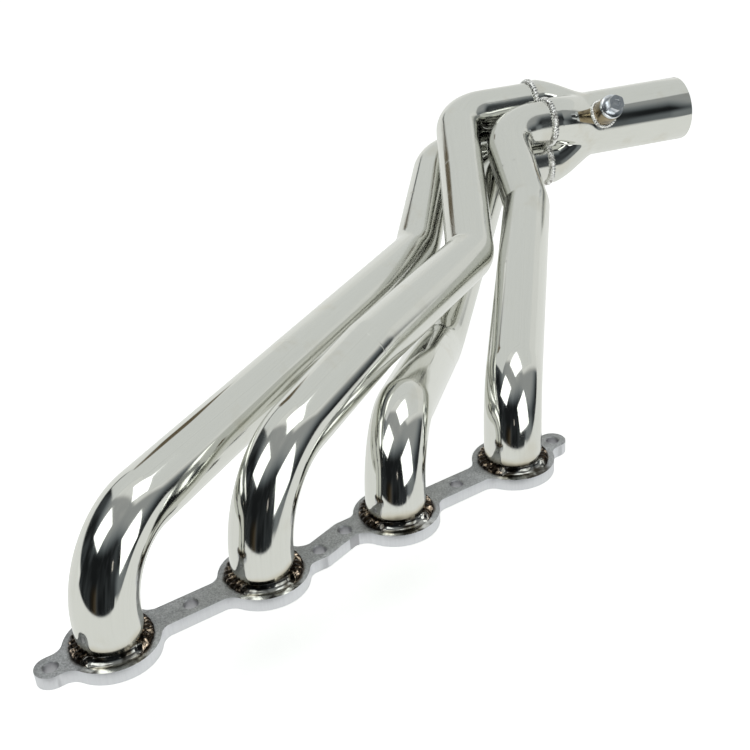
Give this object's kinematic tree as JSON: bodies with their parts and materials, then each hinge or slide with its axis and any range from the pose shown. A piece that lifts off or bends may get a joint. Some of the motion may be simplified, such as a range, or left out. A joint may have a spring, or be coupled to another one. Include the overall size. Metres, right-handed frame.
{
  "type": "exhaust manifold",
  "caption": "Long-tube exhaust header: a bolt-on head flange, bent steel primary tubes and a merge collector with a plugged oxygen sensor bung.",
  "frame": {"origin": "centre of the flange's sealing face, which bolts to the cylinder head", "axes": "+X along the engine from port 1 to port 4, +Y across the flange towards the side the tubes sweep to, +Z away from the cylinder head"},
  "size_m": [0.8655, 0.4258, 0.1935],
  "materials": {
    "flange_steel": "satin, laser cut",
    "port_weld": "heat-tinted weld bead",
    "tube_steel": "polished stainless steel",
    "collector_weld": "silvery weld bead",
    "bung_steel": "heat-tinted turned steel",
    "plug_zinc": "bright zinc plate"
  },
  "bodies": {
    "header": {"head_flange": "flange_steel", "port_weld_1": "port_weld", "port_weld_2": "port_weld", "port_weld_3": "port_weld", "port_weld_4": "port_weld", "primary_1_port_bend": "tube_steel", "primary_1_long_run": "tube_steel", "primary_1_collector_bend": "tube_steel", "primary_2_port_bend": "tube_steel", "primary_2_long_run": "tube_steel", "primary_2_riser": "tube_steel", "primary_2_collector_bend": "tube_steel", "primary_3_port_bend": "tube_steel", "primary_3_long_run": "tube_steel", "primary_3_collector_bend": "tube_steel", "primary_4_port_bend": "tube_steel", "primary_4_long_run": "tube_steel", "primary_4_collector_bend": "tube_steel", "merge_collector": "tube_steel", "inlet_weld": "collector_weld", "outlet_pipe": "tube_steel", "sensor_bung": "bung_steel", "bung_weld": "collector_weld"},
    "plug": {"bung_plug": "plug_zinc"}
  },
  "joints": [
    {"name": "plug_unscrew", "type": "slide", "parent": "header", "child": "plug", "axis": [-0.2663, -0.8148, 0.515], "range_m": [0, 0.02]}
  ]
}
